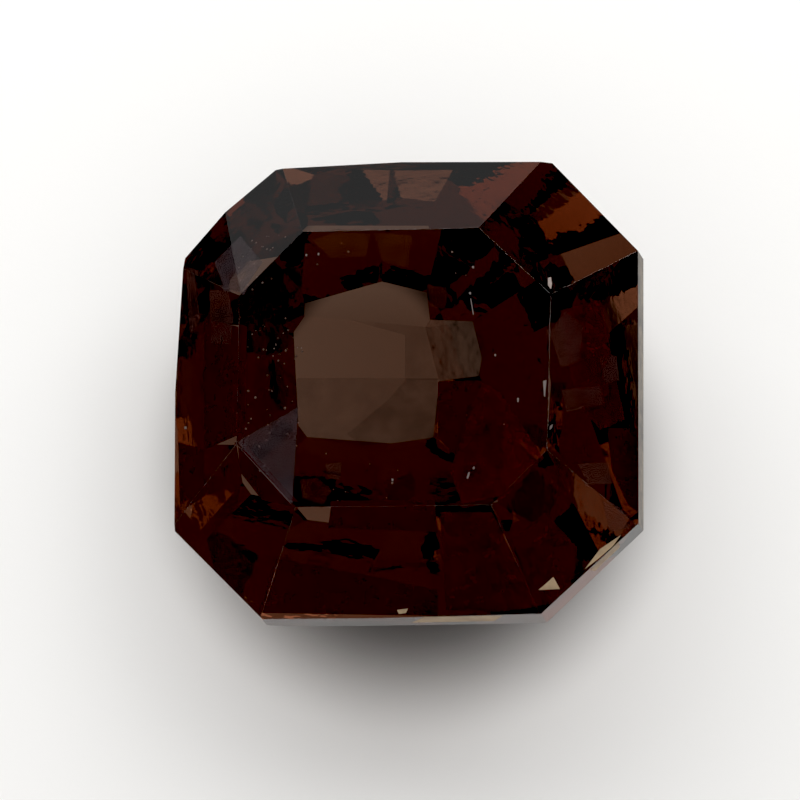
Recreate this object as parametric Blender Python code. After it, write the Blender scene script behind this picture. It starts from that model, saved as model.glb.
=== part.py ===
"""A cut sapphire: a square stone with cut corners, faceted all over, lying on its flat base facet.

The stone is cut here as a lapidary cuts it. A rough block is brought to one flat plane after another,
and each facet is told by three numbers: the compass azimuth that it faces (0 along +X, 90 along +Y),
its slope from the level of the table, and its reach, the distance from the axis of the stone to the
facet at the level of the girdle or of the foot. When it is cut, the stone is laid on its base facet,
which isn't quite parallel to the table. Lengths are millimetres until a point goes to Blender, which
is told metres.
"""

import math

import bmesh
import bpy
from mathutils import Matrix, Vector

MM = 0.001

# Heights, in millimetres, measured from the foot of the stone, square to the table
GIRDLE_LOW = 3.12
GIRDLE_HIGH = 3.60
TABLE = 4.752
BLOCK = 12.0
BLOCK_FLOOR = -1.0

# Outline of the girdle: azimuth and distance of each flat wall. Two sides and one corner are bent.
GIRDLE = (
    (138.4, 4.26),
    (128.9, 4.26),
    (90.9, 3.79),
    (87.0, 3.78),
    (42.2, 4.22),
    (-0.2, 3.77),
    (-47.8, 4.29),
    (-91.2, 3.76),
    (-92.1, 3.765),
    (-136.9, 4.22),
    (180.0, 3.76),
    (175.9, 3.76),
)

# Crown: azimuth, slope and reach at the upper edge of the girdle
CROWN = (
    (88.5, 38.7, 3.785),
    (45.2, 35.7, 4.22),
    (-1.4, 42.7, 3.77),
    (-46.4, 36.6, 4.29),
    (-92.0, 36.7, 3.765),
    (-138.5, 35.7, 4.22),
    (179.0, 43.1, 3.755),
    # one corner is cut three times
    (138.4, 38.0, 4.262),
    (134.1, 36.8, 4.275),
    (128.9, 37.9, 4.262),
)

# Break facets, the steep ones just under the girdle: azimuth and slope
BREAKS = (
    (0.0, 66.0),
    (89.0, 67.0),
    (178.0, 68.0),
    (-92.0, 67.0),
    (44.0, 64.0),
    (134.0, 65.0),
    (-47.0, 64.0),
    (-138.0, 64.0),
)

# Main facets, in pairs below the breaks. They stand a hair outside the corners of the girdle.
MAINS = (
    (-14.0, 56.0),
    (104.0, 59.0),
    (166.0, 60.0),
    (-166.0, 58.0),
    (-76.0, 56.0),
    (35.0, 55.0),
    (125.0, 56.0),
    (142.0, 56.0),
    (-145.0, 55.0),
    (-37.0, 55.0),
    (-57.0, 55.0),
)
MAIN_CLEARANCE = 0.03

# Lower facets, which frame the base: azimuth, slope and reach at the level of the foot
FRAME = (
    (101.2, 48.0, 1.659),
    (93.4, 47.0, 1.597),
    (51.5, 45.9, 1.245),
    (19.8, 42.0, 0.832),
    (10.7, 42.0, 0.749),
    (-96.8, 41.5, 0.532),
    (-110.0, 41.5, 0.621),
    (-155.0, 42.0, 1.482),
    (180.0, 52.0, 1.71),
    (150.0, 48.0, 2.073),
)

# Shallow facets beside the base, on the east and the north
SHALLOW = (
    (23.1, 30.9, 0.653),
    (-2.8, 28.8, 0.455),
    (100.4, 38.0, 1.428),
)

# The base: the largest flat of the lower side, on which the stone lies
BASE = (167.2, 12.7, 0.378)

# Vertices that lie closer together than this are one, in millimetres
MERGE = 0.002

# Deep brown red, nearly black where the light takes the long way through
STONE_COLOUR = (0.045, 0.008, 0.006, 1.0)
CORUNDUM_IOR = 1.77
POLISH_ROUGHNESS = 0.02


def heading(azimuth):
    """Level unit vector that faces an azimuth in degrees."""
    turn = math.radians(azimuth)
    return Vector((math.cos(turn), math.sin(turn), 0.0))


def girdle_support(azimuth):
    """How far the girdle's outline reaches toward an azimuth."""
    walls = sorted(GIRDLE, key=lambda wall: wall[0])
    reach = 0.0
    for (first, near), (second, far) in zip(walls, walls[1:] + walls[:1]):
        a, b = heading(first), heading(second)
        area = a.x * b.y - a.y * b.x
        corner = Vector(((near * b.y - far * a.y) / area, (far * a.x - near * b.x) / area, 0.0))
        reach = max(reach, corner.dot(heading(azimuth)))
    return reach


def facing(azimuth, slope, downward=False):
    """Direction that a facet of this azimuth and slope faces."""
    tilt = math.radians(slope)
    normal = heading(azimuth) * math.sin(tilt)
    normal.z = -math.cos(tilt) if downward else math.cos(tilt)
    return normal


def grind(stone, azimuth, slope, reach, level, downward=False):
    """Cut one facet: everything beyond its plane goes, and the flat it leaves is closed."""
    point = heading(azimuth) * reach
    point.z = level
    cut = bmesh.ops.bisect_plane(
        stone,
        geom=stone.verts[:] + stone.edges[:] + stone.faces[:],
        dist=MERGE * MM / 10,
        plane_co=point * MM,
        plane_no=facing(azimuth, slope, downward),
        clear_outer=True,
    )
    rim = [item for item in cut["geom_cut"] if isinstance(item, bmesh.types.BMEdge)]
    if rim:
        bmesh.ops.holes_fill(stone, edges=rim, sides=0)


def cut_stone():
    """The whole stone, in the order of the bench: table, girdle, crown, then the pavilion."""
    stone = bmesh.new()
    bmesh.ops.create_cube(stone, size=BLOCK * MM)
    for vert in stone.verts:
        vert.co.z += (BLOCK / 2 + BLOCK_FLOOR) * MM
    grind(stone, 0.0, 0.0, 0.0, TABLE)
    for azimuth, reach in GIRDLE:
        grind(stone, azimuth, 90.0, reach, GIRDLE_HIGH)
    for azimuth, slope, reach in CROWN:
        grind(stone, azimuth, slope, reach, GIRDLE_HIGH)
    for azimuth, slope in BREAKS:
        grind(stone, azimuth, slope, girdle_support(azimuth), GIRDLE_LOW, downward=True)
    for azimuth, slope in MAINS:
        reach = girdle_support(azimuth) + MAIN_CLEARANCE
        grind(stone, azimuth, slope, reach, GIRDLE_LOW, downward=True)
    for azimuth, slope, reach in FRAME + SHALLOW + (BASE,):
        grind(stone, azimuth, slope, reach, 0.0, downward=True)
    bmesh.ops.remove_doubles(stone, verts=stone.verts[:], dist=MERGE * MM)
    bmesh.ops.recalc_face_normals(stone, faces=stone.faces[:])
    return stone


def lay_down(stone):
    """Turn the stone until its base is level and undermost, with +Y still toward its north side, and
    bring the bottom centre of its box to the origin."""
    up = -facing(*BASE[:2], downward=True)
    east = Vector((0.0, 1.0, 0.0)).cross(up).normalized()
    turn = Matrix((east, up.cross(east), up))
    for vert in stone.verts:
        vert.co = turn @ vert.co
    for axis in range(3):
        ends = [vert.co[axis] for vert in stone.verts]
        start = min(ends) if axis == 2 else (min(ends) + max(ends)) / 2
        for vert in stone.verts:
            vert.co[axis] -= start


def sapphire_material():
    """Clear corundum with a strong brown red body colour."""
    material = bpy.data.materials.new("corundum_brown_red")
    material.use_nodes = True
    surface = material.node_tree.nodes["Principled BSDF"]
    surface.inputs["Base Color"].default_value = STONE_COLOUR
    surface.inputs["Roughness"].default_value = POLISH_ROUGHNESS
    surface.inputs["Metallic"].default_value = 0.0
    surface.inputs["IOR"].default_value = CORUNDUM_IOR
    return material


def main():
    for old in list(bpy.data.objects):
        bpy.data.objects.remove(old, do_unlink=True)
    stone = cut_stone()
    lay_down(stone)
    mesh = bpy.data.meshes.new("sapphire")
    stone.to_mesh(mesh)
    stone.free()
    mesh.materials.append(sapphire_material())
    sapphire = bpy.data.objects.new("sapphire", mesh)
    collection = bpy.data.collections.new("sapphire")
    bpy.context.scene.collection.children.link(collection)
    collection.objects.link(sapphire)


main()
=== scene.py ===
# %% [markdown]
# # A cut sapphire
#
# A square stone with cut corners, faceted all over, lying table up on white paper. Nearly everything that
# the eye sees in such a stone is light that went in through one facet, met others from the inside and came
# out again. So the shape has to be exact, and the finish is clear crystal with a colour in its depth.

# %% Load the frame
import math

import bmesh
import bpy
from mathutils import Matrix, Vector
from mathutils.bvhtree import BVHTree


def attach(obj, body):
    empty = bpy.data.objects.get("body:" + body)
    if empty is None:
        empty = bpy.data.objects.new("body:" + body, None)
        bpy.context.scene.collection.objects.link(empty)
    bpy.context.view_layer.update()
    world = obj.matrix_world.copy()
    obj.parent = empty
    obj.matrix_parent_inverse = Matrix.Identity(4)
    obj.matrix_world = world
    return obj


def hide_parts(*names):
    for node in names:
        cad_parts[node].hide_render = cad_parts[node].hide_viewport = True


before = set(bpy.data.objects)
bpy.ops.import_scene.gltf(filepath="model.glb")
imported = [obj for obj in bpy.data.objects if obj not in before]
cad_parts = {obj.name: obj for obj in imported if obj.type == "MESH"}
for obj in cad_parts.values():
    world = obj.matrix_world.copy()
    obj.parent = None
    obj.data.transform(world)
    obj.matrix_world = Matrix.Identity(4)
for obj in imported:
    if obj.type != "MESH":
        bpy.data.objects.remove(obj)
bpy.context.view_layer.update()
stone_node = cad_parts["sapphire"]

# %% [markdown]
# ## Helpers
#
# Colours are written as they look on a screen and turned to linear light by one function. One small
# function adds a node with its settings and links, so that each material reads as a list of its parts.

# %% Colour and node helpers
MM = 0.001


def linear(hex_colour):
    """A screen colour such as '#7f3020' as linear red, green, blue and alpha."""
    parts = [int(hex_colour[i:i + 2], 16) / 255 for i in (1, 3, 5)]
    return [p / 12.92 if p <= 0.04045 else ((p + 0.055) / 1.055) ** 2.4 for p in parts] + [1.0]


def add_node(tree, kind, settings=None, links=None, **values):
    """Add a node. Settings are its own properties, values its sockets, links {socket: output}."""
    node = tree.nodes.new(kind)
    for key, value in (settings or {}).items():
        setattr(node, key, value)
    for key, value in values.items():
        node.inputs[key.replace("_", " ")].default_value = value
    for key, output in (links or {}).items():
        tree.links.new(output, node.inputs[key])
    return node


def new_material(name):
    """An empty node material and its tree."""
    material = bpy.data.materials.new(name)
    material.use_nodes = True
    material.node_tree.nodes.clear()
    return material, material.node_tree


print("helpers ready")

# %% [markdown]
# ## Camera
#
# The photograph looks down on the stone, a little from one side, with a lens so long that parallel facets
# stay parallel. The camera stands far off along that direction and is rolled so that the stone sits square.
# It comes first, because the small marks in the stone are placed where the photograph shows them.

# %% Camera
# Directions in the frame, the middle of the girdle, and the pixel of the photograph that it is seen at
TOWARD_CAMERA = Vector((-0.03798, -0.2127, 0.97638)).normalized()
IMAGE_RIGHT = Vector((0.99923, 0.00192, 0.03928))
GIRDLE_CENTRE = Vector((-0.0565, 0.0106, 3.5953)) * MM
FIELD = 12.8 * MM
PIXEL = FIELD / 800
SHOWN_AT = (406, 390)
DISTANCE = 0.4

right = (IMAGE_RIGHT - TOWARD_CAMERA * IMAGE_RIGHT.dot(TOWARD_CAMERA)).normalized()
up = TOWARD_CAMERA.cross(right)
aim = GIRDLE_CENTRE - right * (SHOWN_AT[0] - 400) * PIXEL + up * (SHOWN_AT[1] - 400) * PIXEL
eye = aim + TOWARD_CAMERA * DISTANCE
camera = bpy.data.objects.new("camera", bpy.data.cameras.new("camera"))
bpy.context.scene.collection.objects.link(camera)
camera.matrix_world = Matrix.Translation(eye) @ Matrix((right, up, TOWARD_CAMERA)).transposed().to_4x4()
camera.data.sensor_width = 36
camera.data.lens = 36 * DISTANCE / FIELD
camera.data.clip_start = 0.05
camera.data.clip_end = 5
bpy.context.scene.camera = camera


def sight(pixel):
    """Direction from the eye toward a point of the photograph."""
    return (aim + right * (pixel[0] - 400) * PIXEL - up * (pixel[1] - 400) * PIXEL - eye).normalized()


print("camera at", [round(value, 4) for value in camera.matrix_world.translation])

# %% [markdown]
# ## Corundum, cut and polished
#
# Sapphire is corundum, grown as a crystal and polished on a spinning lap with fine diamond. It bends light
# strongly (index 1.77) and this one soaks up blue and green much more than red, so a short way through it
# is brown and a long way is dark red. That colour is an absorption in the volume and not a paint on the
# surface. Polishing leaves lines far too fine to see one by one: here they are a trace of unevenness.

# %% Polished corundum
CORUNDUM_IOR = 1.77
# Share of light lost per millimetre on the way through: red, green, blue
ABSORPTION_PER_MM = (0.295, 0.45, 0.55)


def absorption(tree):
    """Volume node whose density and colour give the three absorptions above."""
    most = max(ABSORPTION_PER_MM) * 1.06
    colour = [1 - value / most for value in ABSORPTION_PER_MM] + [1.0]
    return add_node(tree, "ShaderNodeVolumeAbsorption", Color=colour, Density=most / MM)


# Waves that cutting by hand leaves in the facets of the lower side, which are worked less carefully
WAVE_LENGTH = 0.55 * MM
WAVE_HEIGHT = 0.006 * MM


def polished_corundum():
    """Clear corundum. The faces whose attribute "wave" is one are a little uneven, as cut by hand."""
    material, tree = new_material("corundum_lap_polished")
    place = add_node(tree, "ShaderNodeTexCoord")
    waves = add_node(tree, "ShaderNodeTexNoise", links={"Vector": place.outputs["Object"]},
                     Scale=1 / WAVE_LENGTH, Detail=2.5, Roughness=0.55)
    wavy_faces = add_node(tree, "ShaderNodeAttribute", {"attribute_name": "wave"})
    height = add_node(tree, "ShaderNodeMath", {"operation": "MULTIPLY"})
    tree.links.new(waves.outputs[0], height.inputs[0])
    tree.links.new(wavy_faces.outputs["Fac"], height.inputs[1])
    uneven = add_node(tree, "ShaderNodeBump", links={"Height": height.outputs["Value"]},
                      Strength=1.0, Distance=WAVE_HEIGHT)
    shader = add_node(tree, "ShaderNodeBsdfPrincipled", links={"Normal": uneven.outputs["Normal"]},
                      Base_Color=linear("#ffffff"), IOR=CORUNDUM_IOR, Roughness=0.0,
                      Transmission_Weight=1.0)
    add_node(tree, "ShaderNodeOutputMaterial",
             links={"Surface": shader.outputs["BSDF"], "Volume": absorption(tree).outputs["Volume"]})
    return material


polish = polished_corundum()
print("polish:", [node.bl_idname for node in polish.node_tree.nodes])

# %% [markdown]
# ## The girdle, left as it was ground
#
# The girdle is the thin wall round the widest part. It is shaped on a coarse wheel. On this stone it was
# polished with the facets beside it, but for its east side, which stays frosted. It scatters light and
# reads as a pale grey and beige line. The same finish in pale beige is painted light: crescents at the
# lower girdle edge, where light comes through the thin edge of the stone.

# %% Frosted corundum, and painted light in the same finish
GRIT_DRIFT = 0.3 * MM


def frost_and_painted_light(name, deep, pale):
    """Corundum as the coarse wheel leaves it, drifting from a deep tone to a pale one. In pale beige it is
    painted light, for crescents where light comes through the thin edge of the stone.
    """
    material, tree = new_material(name)
    place = add_node(tree, "ShaderNodeTexCoord")
    grit = add_node(tree, "ShaderNodeTexNoise", links={"Vector": place.outputs["Object"]},
                    Scale=1 / GRIT_DRIFT, Detail=5.0, Roughness=0.7)
    out = grit.outputs[0]
    tone = add_node(tree, "ShaderNodeValToRGB", links={"Fac": out})
    tone.color_ramp.elements[0].position = 0.35
    tone.color_ramp.elements[0].color = linear(deep)
    tone.color_ramp.elements[1].position = 0.7
    tone.color_ramp.elements[1].color = linear(pale)
    pits = add_node(tree, "ShaderNodeBump", links={"Height": out}, Strength=0.4, Distance=0.01 * MM)
    shader = add_node(tree, "ShaderNodeBsdfPrincipled",
                      links={"Normal": pits.outputs["Normal"], "Base Color": tone.outputs["Color"]},
                      IOR=CORUNDUM_IOR, Roughness=0.55)
    add_node(tree, "ShaderNodeOutputMaterial", links={"Surface": shader.outputs["BSDF"]})
    return material


frosted = frost_and_painted_light("corundum_frosted_by_grinding", "#4a4440", "#8b7d69")
# Painted light in pale beige: crescents where light comes through the thin edge of the stone
painted_crescent_light = frost_and_painted_light("painted_light_crescents_beige", "#7d6344", "#a48b66")
print("frosted:", [node.bl_idname for node in frosted.node_tree.nodes])

# %% [markdown]
# ## The stone
#
# The solid of the frame has every facet in its place. Its mesh is loose triangles, so a copy is merged
# and its flat facets are joined again. Real facet junctions are never knife sharp, and the eye reads
# their fine bright or dark line, so every edge gets a bevel of one or two thousandths of a millimetre.

# %% Copy the stone, merge it and soften its edges
EDGE_WEAR = 0.0015 * MM
SAME_POINT = 0.0015 * MM
FLAT = math.radians(0.35)
# Directions that the table and the east wall of the girdle face, and how near another may come to them
TABLE_NORMAL = Vector((-0.21464, 0.04757, 0.97553))
EAST_WALL = Vector((0.97669, 0.00697, 0.21455))
WALL_LEAN = 0.02
SAME_WAY = 0.95


def merged_copy(source):
    shape = bmesh.new()
    shape.from_mesh(source.data)
    bmesh.ops.remove_doubles(shape, verts=shape.verts[:], dist=SAME_POINT)
    bmesh.ops.dissolve_limit(shape, angle_limit=FLAT, verts=shape.verts[:], edges=shape.edges[:])
    return shape


def finish_stone(source):
    shape = merged_copy(source)
    facets = len(shape.faces)
    bmesh.ops.bevel(shape, geom=shape.edges[:], offset=EDGE_WEAR, offset_type="OFFSET", segments=1,
                    profile=0.5, affect="EDGES", clamp_overlap=True)
    mesh = bpy.data.meshes.new("sapphire_stone")
    bmesh.ops.recalc_face_normals(shape, faces=shape.faces[:])
    wave = shape.faces.layers.float.new("wave")
    for face in shape.faces:
        lean = face.normal.dot(TABLE_NORMAL)
        east = face.normal.dot(EAST_WALL) > SAME_WAY
        face.material_index = 1 if abs(lean) < WALL_LEAN and east else 0
        face[wave] = 1.0 if lean < -WALL_LEAN else 0.0
        face.smooth = False
    shape.to_mesh(mesh)
    shape.free()
    mesh.materials.append(polish)
    mesh.materials.append(frosted)
    piece = bpy.data.objects.new("sapphire_stone", mesh)
    bpy.context.scene.collection.objects.link(piece)
    print(facets, "facets, then", len(mesh.polygons), "faces with the worn edges")
    return piece


stone = finish_stone(stone_node)
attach(stone, "root")
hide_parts("sapphire")

# %% [markdown]
# ## Finding a place in the stone
#
# Marks in the depth are seen through a facet, which bends the line of sight. So each is placed by following
# the line from the eye to the facet, bending it by the law of refraction and going on to the wanted depth.
# A patch is a flat outline with a little thickness, so it is a closed body like everything real.

# %% Lines of sight into the stone
INSIDE_MARGIN = 0.02 * MM
skin = BVHTree.FromObject(stone, bpy.context.evaluated_depsgraph_get())


def facet_at(pixel):
    """Point and outward direction of the facet that the photograph shows at a pixel."""
    point, normal, _, _ = skin.ray_cast(eye, sight(pixel))
    return point, normal


def bent(ray, normal):
    """The ray after it has entered the stone through a facet."""
    share = 1 / CORUNDUM_IOR
    cosine = -ray.dot(normal)
    return ray * share + normal * (share * cosine - math.sqrt(1 - share ** 2 * (1 - cosine ** 2)))


DRAW_STEP = 0.015
ON_SAME_FACET = 0.999


def drawn_in(pixel, middle, normal):
    """The pixel, moved toward the middle of its outline until it lies on the facet with this normal."""
    for step in range(60):
        share = 1 - DRAW_STEP * step
        moved = [m + (p - m) * share for p, m in zip(pixel, middle)]
        point, met = facet_at(moved)
        if point and met.dot(normal) > ON_SAME_FACET:
            break
    return moved


def well_inside(point):
    """Whether a point is in the stone, at least by a small margin. The stone is convex all over."""
    near, normal, _, _ = skin.find_nearest(point)
    return (near - point).dot(normal) > INSIDE_MARGIN


def place_outline(pixels, depth):
    """Corners of a flat patch under (or, below zero depth, on) the facet at the outline's middle."""
    middle = (sum(x for x, _ in pixels) / len(pixels), sum(y for _, y in pixels) / len(pixels))
    point, normal = facet_at(middle)
    corners = []
    for pixel in pixels:
        ray = sight(drawn_in(pixel, middle, normal))
        on_facet = eye + ray * ((point - eye).dot(normal) / ray.dot(normal))
        inner = bent(ray, normal)
        corners.append(on_facet + inner * (depth / -inner.dot(normal)))
    centre = sum(corners, Vector()) / len(corners)
    if depth > 0:
        for i, corner in enumerate(corners):
            while not well_inside(corner) and (corner - centre).length > INSIDE_MARGIN:
                corner = corner.lerp(centre, 0.06)
            corners[i] = corner
    return corners, normal


def add_patch(shape, pixels, depth, thickness, slot=0):
    """Add a closed flat patch to a mesh, with its upper face at the depth and its lower one beneath."""
    corners, normal = place_outline(pixels, depth)
    top = [shape.verts.new(corner) for corner in corners]
    bottom = [shape.verts.new(corner - normal * thickness) for corner in corners]
    faces = [shape.faces.new(top), shape.faces.new(bottom)]
    for i in range(len(top)):
        j = (i + 1) % len(top)
        faces.append(shape.faces.new((top[i], top[j], bottom[j], bottom[i])))
    for face in faces:
        face.material_index = slot


def add_piece(name, shape, materials):
    """Turn a mesh under work into a piece of the stone."""
    bmesh.ops.recalc_face_normals(shape, faces=shape.faces[:])
    mesh = bpy.data.meshes.new(name)
    shape.to_mesh(mesh)
    shape.free()
    for material in materials:
        mesh.materials.append(material)
    piece = bpy.data.objects.new(name, mesh)
    bpy.context.scene.collection.objects.link(piece)
    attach(piece, "root")
    print(name, "has", len(mesh.polygons), "faces")
    return piece


print("table seen at", [round(value * 1000, 2) for value in facet_at((406, 390))[0]])

# %% [markdown]
# ## Feathers, painted sheen and painted shade
#
# Cracks that healed while the crystal grew stay in it as thin veils, called feathers. They catch light that
# misses the facets, so they look amber or rose over the dark ground. The grey sheets are painted
# reflection: a grey sheen at the top left and in the triangle at the left, where facets mirror and leak
# light.
# The red-brown sheets over the window are painted shade, deepest at its lower right, where the base lies
# nearest the paper. All are thin sheets in the depth, mostly clear, with a soft mottle that thins them out
# in places. The dark red sheets are denser and are painted shade too: they stand where this cut would show
# a pale image of its own base, or nothing at all, and the real stone shows dark red.

# %% Feathers, painted sheen and painted shade


def veil_material(name, colour, cover, blotch, thinnest=0.45):
    """A thin sheet that covers a share of what lies behind it, and in places only a part of that share.
    The blotch is the size of its mottle."""
    material, tree = new_material(name)
    place = add_node(tree, "ShaderNodeTexCoord")
    mottle = add_node(tree, "ShaderNodeTexNoise", links={"Vector": place.outputs["Object"]},
                      Scale=1 / blotch, Detail=3.0, Roughness=0.6)
    amount = add_node(tree, "ShaderNodeMapRange", links={"Value": mottle.outputs[0]},
                      From_Min=0.35, From_Max=0.65, To_Min=thinnest * cover, To_Max=cover)
    shader = add_node(tree, "ShaderNodeBsdfPrincipled", links={"Alpha": amount.outputs["Result"]},
                      Base_Color=linear(colour), Roughness=0.6)
    shader.inputs["Specular IOR Level"].default_value = 0.0
    add_node(tree, "ShaderNodeOutputMaterial", links={"Surface": shader.outputs["BSDF"]})
    return material


SHEET = 0.003 * MM
# The grey sheet is painted reflection, the red-brown and dark red ones are painted shade; amber and rose
# are feathers
painted_grey_sheen = veil_material("painted_reflection_grey_sheet", "#6a5b62", 0.42, 0.25 * MM)
feather_amber = veil_material("healed_fracture_amber", "#6b3a1c", 0.32, 0.3 * MM)
feather_rose = veil_material("healed_fracture_rose", "#6e4642", 0.32, 0.3 * MM)
painted_window_shade = veil_material("painted_shade_red_brown_sheet", "#2a0f0a", 0.14, 0.4 * MM)
painted_red_shade = veil_material("painted_shade_deep_red_sheet", "#480803", 0.98, 0.35 * MM, 0.93)
painted_mottled_red_shade = veil_material("painted_shade_mottled_red_sheet", "#560a05", 0.92, 0.22 * MM, 0.3)

# Outlines in pixels of the photograph
# Painted reflection: grey sheets for the sheen where facets at the top left and left mirror and leak light
PAINTED_GREY_SHEEN_OUTLINES = (
    ((237, 442), (293, 505), (298, 407)),
    ((214, 262), (240, 236), (262, 262), (243, 300), (222, 292)),
)
AMBER_VEILS = (
    ((312, 240), (335, 232), (370, 234), (366, 256), (330, 258)),
    ((374, 232), (412, 236), (408, 268), (382, 262)),
    ((300, 480), (318, 478), (332, 490), (322, 504), (303, 498)),
    ((427, 284), (447, 288), (446, 310), (430, 306)),
)
ROSE_VEILS = (
    ((548, 330), (565, 310), (584, 326), (580, 362), (560, 368)),
    ((600, 357), (616, 355), (620, 380), (604, 385)),
    ((562, 390), (600, 385), (605, 404), (566, 412)),
    ((578, 464), (608, 462), (612, 484), (584, 490)),
    ((602, 500), (628, 498), (632, 528), (610, 532)),
    ((325, 464), (342, 462), (340, 480), (328, 478)),
    ((209, 290), (228, 287), (234, 318), (230, 345), (211, 343)),
    ((186, 272), (196, 265), (200, 320), (190, 340)),
)
# Painted shade: red-brown sheets over the window, deepest at its lower right, where the base lies nearest
# the paper
PAINTED_WINDOW_SHADE_OUTLINES = (
    ((297, 378), (438, 378), (437, 437), (363, 447), (300, 435), (293, 407)),
    ((347, 434), (388, 400), (406, 379), (437, 379), (437, 437), (363, 446)),
    ((350, 320), (427, 327), (431, 327), (473, 321), (482, 357), (478, 380), (405, 380), (405, 335)),
)
# Painted shade: dark red sheets where this cut would show a pale image of its own base, or nothing at all
PAINTED_RED_SHADE_OUTLINES = (
    ((271, 556), (362, 574), (438, 590), (438, 616), (250, 616)),
    ((204, 318), (241, 318), (241, 452), (204, 450)),
    ((322, 505), (438, 505), (438, 532), (328, 528)),
    ((238, 446), (293, 507), (262, 500), (240, 472)),
    ((178, 442), (204, 450), (232, 500), (204, 520), (180, 505)),
    ((607, 428), (638, 428), (638, 512), (628, 505), (612, 470)),
    ((438, 382), (482, 380), (484, 420), (458, 458), (438, 438)),
)
PAINTED_MOTTLED_SHADE_OUTLINES = (
    ((482, 382), (500, 392), (545, 455), (535, 482), (500, 504), (462, 504), (450, 470)),
    ((440, 512), (492, 512), (538, 608), (500, 612), (446, 610)),
    ((512, 540), (545, 512), (578, 548), (574, 575), (552, 604), (538, 606)),
    ((560, 310), (600, 300), (625, 420), (600, 430), (575, 400)),
)
veils = bmesh.new()
# Depth of the first sheet of each kind under its facet. Each next one lies a little deeper.
KINDS = ((PAINTED_GREY_SHEEN_OUTLINES, 0.12 * MM), (AMBER_VEILS, 0.18 * MM), (ROSE_VEILS, 0.15 * MM), (PAINTED_WINDOW_SHADE_OUTLINES, 0.9 * MM),
         (PAINTED_RED_SHADE_OUTLINES, 0.3 * MM), (PAINTED_MOTTLED_SHADE_OUTLINES, 0.25 * MM))
NEXT_DEEPER = 0.02 * MM
for slot, (outlines, depth) in enumerate(KINDS):
    for step, outline in enumerate(outlines):
        add_patch(veils, outline, depth + NEXT_DEEPER * step, SHEET, slot)
add_piece("feathers_painted_sheen_and_shade", veils,
          (painted_grey_sheen, feather_amber, feather_rose, painted_window_shade, painted_red_shade, painted_mottled_red_shade))

# %% [markdown]
# ## Small crystals enclosed in the stone
#
# A natural stone holds specks of other minerals. Here Geometry Nodes scatter them: a few flat fields lie in
# the depth where the photograph shows specks, each field says how many it wants in a square millimetre, and
# every point gets a small faceted crystal of its own size, turn and depth.

# %% Scatter the enclosed crystals
SPECK_FIELDS = (
    (((222, 318), (300, 312), (304, 364), (228, 366)), 42.0),
    (((236, 400), (300, 400), (296, 480), (252, 462)), 26.0),
    (((236, 232), (284, 228), (284, 282), (240, 284)), 30.0),
    (((240, 366), (296, 366), (292, 402), (238, 402)), 12.0),
    (((300, 240), (470, 240), (470, 275), (300, 275)), 4.0),
    (((460, 390), (560, 390), (540, 480), (440, 490)), 3.0),
    (((300, 450), (440, 450), (420, 500), (310, 500)), 5.0),
)
FIELD_DEPTH = 0.08 * MM
SPECK_INPUTS = {"Smallest": 0.006 * MM, "Largest": 0.022 * MM, "Depth": 0.35 * MM, "Seed": 7}


def crystal_material():
    """Enclosed crystals, grown and untouched: pale, a little glossy, not all of one tone."""
    material, tree = new_material("enclosed_crystal_pale")
    place = add_node(tree, "ShaderNodeTexCoord")
    drift = add_node(tree, "ShaderNodeTexNoise", links={"Vector": place.outputs["Object"]},
                     Scale=1 / (0.12 * MM), Detail=2.0, Roughness=0.5)
    tone = add_node(tree, "ShaderNodeValToRGB", links={"Fac": drift.outputs[0]})
    tone.color_ramp.elements[0].position = 0.35
    tone.color_ramp.elements[0].color = linear("#4e3f3c")
    tone.color_ramp.elements[1].position = 0.65
    tone.color_ramp.elements[1].color = linear("#b4a7a2")
    shader = add_node(tree, "ShaderNodeBsdfPrincipled", links={"Base Color": tone.outputs["Color"]},
                      Roughness=0.45)
    add_node(tree, "ShaderNodeOutputMaterial", links={"Surface": shader.outputs["BSDF"]})
    return material


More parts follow.
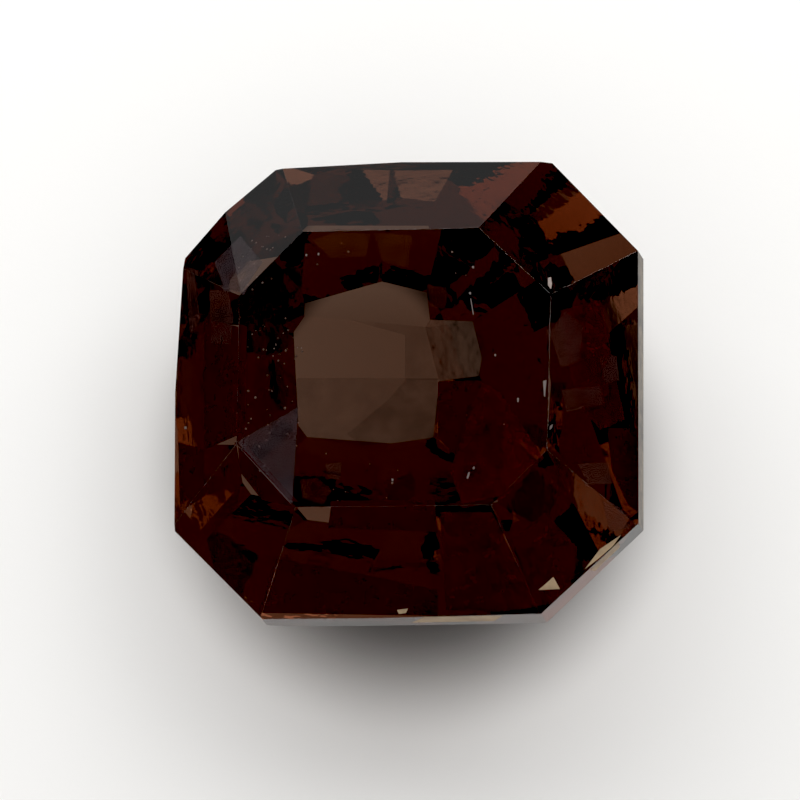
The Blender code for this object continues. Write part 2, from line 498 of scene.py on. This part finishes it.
def scatter_tree(material):
    """Points on the fields, each with a small faceted crystal."""
    tree = bpy.data.node_groups.new("enclosed_crystals", "GeometryNodeTree")
    face = tree.interface
    face.new_socket("Geometry", in_out="INPUT", socket_type="NodeSocketGeometry")
    for name, kind in (("Smallest", "NodeSocketFloat"), ("Largest", "NodeSocketFloat"),
                       ("Depth", "NodeSocketFloat"), ("Seed", "NodeSocketInt")):
        face.new_socket(name, in_out="INPUT", socket_type=kind)
    face.new_socket("Geometry", in_out="OUTPUT", socket_type="NodeSocketGeometry")
    start = add_node(tree, "NodeGroupInput")
    wanted = add_node(tree, "GeometryNodeInputNamedAttribute", {"data_type": "FLOAT"})
    wanted.inputs["Name"].default_value = "per_square_metre"
    points = add_node(tree, "GeometryNodeDistributePointsOnFaces", links={
        "Mesh": start.outputs["Geometry"], "Density": wanted.outputs[0], "Seed": start.outputs["Seed"]})
    sink = add_node(tree, "FunctionNodeRandomValue", {"data_type": "FLOAT"},
                    links={"Seed": start.outputs["Seed"]})
    tree.links.new(start.outputs["Depth"], sink.inputs[3])
    down = add_node(tree, "ShaderNodeVectorMath", {"operation": "SCALE"},
                    {"Vector": points.outputs["Normal"], "Scale": sink.outputs[1]})
    moved = add_node(tree, "GeometryNodeSetPosition", links={
        "Geometry": points.outputs["Points"], "Offset": down.outputs["Vector"]})
    crystal = add_node(tree, "GeometryNodeMeshIcoSphere", Radius=1.0, Subdivisions=1)
    size = add_node(tree, "FunctionNodeRandomValue", {"data_type": "FLOAT"},
                    links={"Seed": start.outputs["Seed"]})
    tree.links.new(start.outputs["Smallest"], size.inputs[2])
    tree.links.new(start.outputs["Largest"], size.inputs[3])
    turn = add_node(tree, "FunctionNodeRandomValue", {"data_type": "FLOAT_VECTOR"},
                    links={"Seed": start.outputs["Seed"]})
    turn.inputs[1].default_value = (6.28, 6.28, 6.28)
    placed = add_node(tree, "GeometryNodeInstanceOnPoints", links={
        "Points": moved.outputs["Geometry"], "Instance": crystal.outputs["Mesh"],
        "Rotation": turn.outputs[0], "Scale": size.outputs[1]})
    real = add_node(tree, "GeometryNodeRealizeInstances", links={"Geometry": placed.outputs["Instances"]})
    coated = add_node(tree, "GeometryNodeSetMaterial", links={"Geometry": real.outputs["Geometry"]})
    coated.inputs["Material"].default_value = material
    add_node(tree, "NodeGroupOutput", links={"Geometry": coated.outputs["Geometry"]})
    return tree


def scatter_crystals():
    fields = bmesh.new()
    wanted = fields.faces.layers.float.new("per_square_metre")
    for pixels, per_square_mm in SPECK_FIELDS:
        corners, normal = place_outline(pixels, FIELD_DEPTH)
        face = fields.faces.new([fields.verts.new(corner) for corner in corners])
        face.normal_update()
        if face.normal.dot(normal) > 0:
            face.normal_flip()
        face[wanted] = per_square_mm / MM ** 2
    mesh = bpy.data.meshes.new("speck_fields")
    fields.to_mesh(mesh)
    fields.free()
    carrier = bpy.data.objects.new("speck_fields", mesh)
    bpy.context.scene.collection.objects.link(carrier)
    modifier = carrier.modifiers.new("scatter", "NODES")
    modifier.node_group = scatter_tree(crystal_material())
    sockets = {item.name: item.identifier for item in modifier.node_group.interface.items_tree
               if item.in_out == "INPUT"}
    for name, value in SPECK_INPUTS.items():
        modifier[sockets[name]] = value
    graph = bpy.context.evaluated_depsgraph_get()
    mesh = bpy.data.meshes.new_from_object(carrier.evaluated_get(graph))
    carrier.modifiers.clear()
    bpy.data.objects.remove(carrier)
    piece = bpy.data.objects.new("enclosed_crystals", mesh)
    bpy.context.scene.collection.objects.link(piece)
    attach(piece, "root")
    print("enclosed crystals:", len(mesh.polygons) // 20, "of", len(mesh.polygons), "faces in all")


scatter_crystals()

# %% [markdown]
# ## Chips and painted crescents of light
#
# Hard as it is, corundum chips along its facet edges, and a fresh chip is a tiny bright dent. At the lower
# edge of the crown pale beige crescents are painted light, in place of the light that comes through the
# thin edge of the stone there; they look like frosted slivers. Both are thin flakes that stand in the
# surface and rise from it by a few thousandths of a millimetre.

# %% Chips and painted crescents of light
PROUD = 0.002 * MM
FLAKE = 0.012 * MM
LARGEST_CHIP = ((548, 278), (551, 277), (552, 284), (551, 289), (548, 285))
CHIPS = (
    ((472, 266), (474, 266), (474, 268.5), (472, 268)),
    ((469, 292), (471, 292), (471, 294.5), (469, 294)),
    ((470.3, 299), (471, 298), (473.8, 314), (473, 315)),
    ((494.5, 354), (496, 354), (496, 356.5), (494.5, 356)),
    ((517, 398), (519, 398), (518.6, 402), (517.3, 402)),
    ((543, 381), (546.5, 380), (545, 397), (544, 396)),
    ((549.5, 430), (550, 426), (553, 424), (552, 428)),
    ((466.5, 478), (468.5, 472), (470, 472.5), (468, 479)),
    ((472.5, 468), (474, 466), (475, 468), (473.5, 469.5)),
    ((391.5, 478.5), (393.5, 479), (393, 481.5), (391.5, 480.5)),
    ((305.5, 254), (307.3, 254.2), (307, 256.2), (305.5, 256)),
    ((317.8, 252.8), (319.4, 253), (319, 255.3), (317.6, 255)),
    ((184.5, 426.5), (186.5, 426.5), (186.4, 429), (184.5, 429)),
)
# Painted light: pale beige crescents where light comes through the thin edge of the stone
PAINTED_LIGHT_CRESCENTS = (
    ((398, 615.5), (503, 615.5), (494, 621), (412, 622.5)),
    ((397, 610), (408, 608.5), (406, 613), (399, 614)),
    ((585, 569), (600, 549), (621, 535), (613, 546), (598, 559)),
    ((590, 570), (621, 539), (620, 547), (603, 563), (595, 571)),
    ((538.5, 590), (553.4, 577), (560, 589)),
)


def chip_material(name, deep, pale):
    """A conchoidal chip: clean curved breaks, drawn as fine ripples between two tones."""
    material, tree = new_material(name)
    place = add_node(tree, "ShaderNodeTexCoord")
    ripple = add_node(tree, "ShaderNodeTexNoise", links={"Vector": place.outputs["Object"]},
                      Scale=1 / (0.03 * MM), Detail=3.0, Roughness=0.6)
    tone = add_node(tree, "ShaderNodeValToRGB", links={"Fac": ripple.outputs[0]})
    tone.color_ramp.elements[0].color = linear(deep)
    tone.color_ramp.elements[1].color = linear(pale)
    relief = add_node(tree, "ShaderNodeBump", links={"Height": ripple.outputs[0]}, Strength=0.6,
                      Distance=0.01 * MM)
    shader = add_node(tree, "ShaderNodeBsdfPrincipled", links={
        "Base Color": tone.outputs["Color"], "Normal": relief.outputs["Normal"]},
        IOR=CORUNDUM_IOR, Roughness=0.5)
    add_node(tree, "ShaderNodeOutputMaterial", links={"Surface": shader.outputs["BSDF"]})
    return material


fresh_chip = chip_material("corundum_fresh_chip", "#3a2a26", "#a8968c")
old_chip = chip_material("corundum_old_chip", "#160d0c", "#5c4842")
flakes = bmesh.new()
for slot, outlines in enumerate(((LARGEST_CHIP,), CHIPS, PAINTED_LIGHT_CRESCENTS)):
    for outline in outlines:
        add_patch(flakes, outline, -PROUD, FLAKE, slot)
add_piece("chips_and_painted_light_crescents", flakes, (fresh_chip, old_chip, painted_crescent_light))

# %% [markdown]
# ## Paper, cards and lamps
#
# The stone lies on a round of white paper. A polished stone shows its surroundings as much as itself: with
# a long lens each flat facet of the crown mirrors one single direction. Small black discs stand in those
# directions, so that the surface stays dark and the eye looks into the depth, and three grey discs give
# the north side its thin grey sheen. A large soft window in the north gives the shadow its side. Under its
# base the paper glows with a painted pool of light, in place of the light the stone gathers there, and
# close round that a painted shadow darkens the paper's white.

# %% Stage
PAPER_GAP = 0.01 * MM
PAPER_RADIUS = 10.0 * MM
# Middle of the painted pool of light under the base, how far it stays full and where it ends, and how
# brightly the paper glows there in place of the light the stone gathers
PAINTED_GLOW_MIDDLE = (-0.19 * MM, 0.42 * MM, 0)
PAINTED_GLOW_FULL_TO = 1.3 * MM
PAINTED_GLOW_END = 1.6 * MM
PAINTED_GLOW_STRENGTH = 0.33
# Middle and reach of the painted shadow round the base, and the share of the paper's white that is left
# there
PAINTED_SHADOW_MIDDLE = (0.25 * MM, -0.5 * MM, 0)
PAINTED_SHADOW_FULL_TO = 2.4 * MM
PAINTED_SHADOW_END = 4.6 * MM
PAINTED_SHADOW_SHARE = 0.13


# White paper, with a painted shadow round the stone and a painted pool of light beneath its base
def paper_material():
    material, tree = new_material("paper_white_painted_shadow_and_glow")
    place = add_node(tree, "ShaderNodeTexCoord")
    fibre = add_node(tree, "ShaderNodeTexNoise", links={"Vector": place.outputs["Object"]},
                     Scale=3000.0, Detail=5.0, Roughness=0.6)
    relief = add_node(tree, "ShaderNodeBump", links={"Height": fibre.outputs[0]},
                      Strength=0.15, Distance=0.02 * MM)
    shader = add_node(tree, "ShaderNodeBsdfPrincipled", links={"Normal": relief.outputs["Normal"]},
                      Base_Color=linear("#f6f5f3"), Roughness=0.9)
    shader.inputs["Specular IOR Level"].default_value = 0.1

    def distance_from(point):
        centred = add_node(tree, "ShaderNodeMapping", links={"Vector": place.outputs["Object"]},
                           Location=[-value for value in point])
        length = add_node(tree, "ShaderNodeVectorMath", {"operation": "LENGTH"},
                          {"Vector": centred.outputs["Vector"]})
        return length.outputs["Value"]

    # A painted pool of light: the paper beneath the stone's base glows, in place of the light the stone
    # gathers there; full up to one distance, none past another
    painted_glow = add_node(tree, "ShaderNodeMapRange", {"interpolation_type": "SMOOTHSTEP"},
                        {"Value": distance_from(PAINTED_GLOW_MIDDLE)}, From_Min=PAINTED_GLOW_FULL_TO, From_Max=PAINTED_GLOW_END,
                        To_Min=PAINTED_GLOW_STRENGTH, To_Max=0.0)
    tree.links.new(painted_glow.outputs["Result"], shader.inputs["Emission Strength"])
    # A painted shadow next to the base: the paper's white is darkened there, in place of the shade the
    # stone casts
    painted_shadow_fade = add_node(tree, "ShaderNodeMapRange", {"interpolation_type": "SMOOTHSTEP"},
                   {"Value": distance_from(PAINTED_SHADOW_MIDDLE)}, From_Min=PAINTED_SHADOW_FULL_TO, From_Max=PAINTED_SHADOW_END,
                   To_Min=PAINTED_SHADOW_SHARE, To_Max=1.0)
    painted_shadow_colour = add_node(tree, "ShaderNodeVectorMath", {"operation": "SCALE"}, {"Scale": painted_shadow_fade.outputs["Result"]})
    painted_shadow_colour.inputs[0].default_value = linear("#f6f5f3")[:3]
    tree.links.new(painted_shadow_colour.outputs["Vector"], shader.inputs["Base Color"])
    shader.inputs["Emission Color"].default_value = linear("#f2fbff")
    add_node(tree, "ShaderNodeOutputMaterial", links={"Surface": shader.outputs["BSDF"]})
    return material


def glow_material(name, strength):
    material, tree = new_material(name)
    glow = add_node(tree, "ShaderNodeEmission", Color=linear("#ffffff"), Strength=strength)
    add_node(tree, "ShaderNodeOutputMaterial", links={"Surface": glow.outputs["Emission"]})
    return material


def sheet(name, corners, material):
    mesh = bpy.data.meshes.new(name)
    mesh.from_pydata(corners, [], [list(range(len(corners)))])
    mesh.materials.append(material)
    item = bpy.data.objects.new(name, mesh)
    bpy.context.scene.collection.objects.link(item)
    return item


def direction(azimuth, elevation):
    a, e = math.radians(azimuth), math.radians(elevation)
    return Vector((math.cos(e) * math.cos(a), math.cos(e) * math.sin(a), math.sin(e)))


def dome_patch(name, azimuths, elevations, radius, material, steps=8):
    """A curved strip of a dome that faces the stone, from one azimuth and elevation to another."""
    shape = bmesh.new()
    rows = []
    for j in range(steps + 1):
        elevation = elevations[0] + (elevations[1] - elevations[0]) * j / steps
        rows.append([shape.verts.new(direction(azimuths[0] + (azimuths[1] - azimuths[0]) * i / steps,
                                               elevation) * radius) for i in range(steps + 1)])
    for low, high in zip(rows, rows[1:]):
        for i in range(steps):
            shape.faces.new((low[i], high[i], high[i + 1], low[i + 1]))
    mesh = bpy.data.meshes.new(name)
    shape.to_mesh(mesh)
    shape.free()
    mesh.materials.append(material)
    item = bpy.data.objects.new(name, mesh)
    bpy.context.scene.collection.objects.link(item)
    return item


paper = sheet("paper", [(*(PAPER_RADIUS * direction(a, 0)).xy, -PAPER_GAP) for a in range(0, 360, 5)],
              paper_material())
LIGHT_DISTANCE = 120 * MM
SOFTBOX_LIGHT = 2.5
softbox = dome_patch("softbox_north", (30, 150), (22, 66), LIGHT_DISTANCE,
                     glow_material("softbox_cloth", SOFTBOX_LIGHT))
# The softbox and the discs light the stone but don't stand in the way of a camera behind them
softbox.visible_camera = False
# Where each polished face of the crown points the eye: azimuth from east toward north, elevation
FLAGS = {"table": (141, 61.4), "northeast": (67, 16.7), "east": (16, 25.8), "southeast": (312, 45.3),
         "south": (249, 29.9), "southwest": (201, 9.7), "west": (164, -19.1), "northwest": (133, -14.0)}
GREY_CARDS = {"north": (98, -7), "northwest_second": (130, -11.6), "northwest_third": (125, -13.5)}
GREY_CARD_LIGHT = 0.25
black_card, black_tree = new_material("black_card")
add_node(black_tree, "ShaderNodeOutputMaterial", links={
    "Surface": add_node(black_tree, "ShaderNodeBsdfDiffuse", Color=linear("#050505")).outputs["BSDF"]})
grey_card = glow_material("grey_card", GREY_CARD_LIGHT)
# A disc above the horizon stands far off. One below it stands nearer, past the paper's rim, and is wider.
HIGH_DISC, LOW_DISC = 100 * MM, 40 * MM
HIGH_SPREAD, LOW_SPREAD = math.radians(3.0), math.radians(4.8)
GIRDLE_LEVEL = 3.6 * MM


def flag(name, azimuth, elevation, material):
    """A small disc, square to the line from the stone, that one face of the crown mirrors."""
    far, half = (HIGH_DISC, HIGH_SPREAD) if elevation > 0 else (LOW_DISC, LOW_SPREAD)
    out = direction(azimuth, elevation)
    level = Vector((0, 0, 1)).cross(out).normalized()
    rise = out.cross(level)
    middle = Vector((0, 0, GIRDLE_LEVEL)) + out * far
    spread = far * math.tan(half)
    ring = [middle + (level * math.cos(a) + rise * math.sin(a)) * spread
            for a in (math.radians(step) for step in range(0, 360, 15))]
    card = sheet("flag_" + name, [tuple(point) for point in ring], material)
    card.visible_camera = False
    return card


for name, (azimuth, elevation) in FLAGS.items():
    flag(name, azimuth, elevation, black_card)
for name, (azimuth, elevation) in GREY_CARDS.items():
    flag(name, azimuth, elevation, grey_card)
print("stage:", len(FLAGS), "flags, a softbox and the paper")

# %% [markdown]
# ## The room
#
# Even light comes from all round, as in a white tent. The picture's darkest tones are pressed down to
# black, as the photograph's are, which turns the faint brown in the depth of the stone to a pure red.

# %% World and tone
WORLD_LIGHT = 0.7
BLACK_LEVEL = 0.0035
world = bpy.data.worlds.new("room")
world.use_nodes = True
world.node_tree.nodes["Background"].inputs["Color"].default_value = linear("#ffffff")
world.node_tree.nodes["Background"].inputs["Strength"].default_value = WORLD_LIGHT
bpy.context.scene.world = world
view = bpy.context.scene.view_settings
view.view_transform = "Standard"
view.use_curve_mapping = True
view.curve_mapping.black_level = (BLACK_LEVEL,) * 3
view.curve_mapping.update()
print("world light", WORLD_LIGHT)
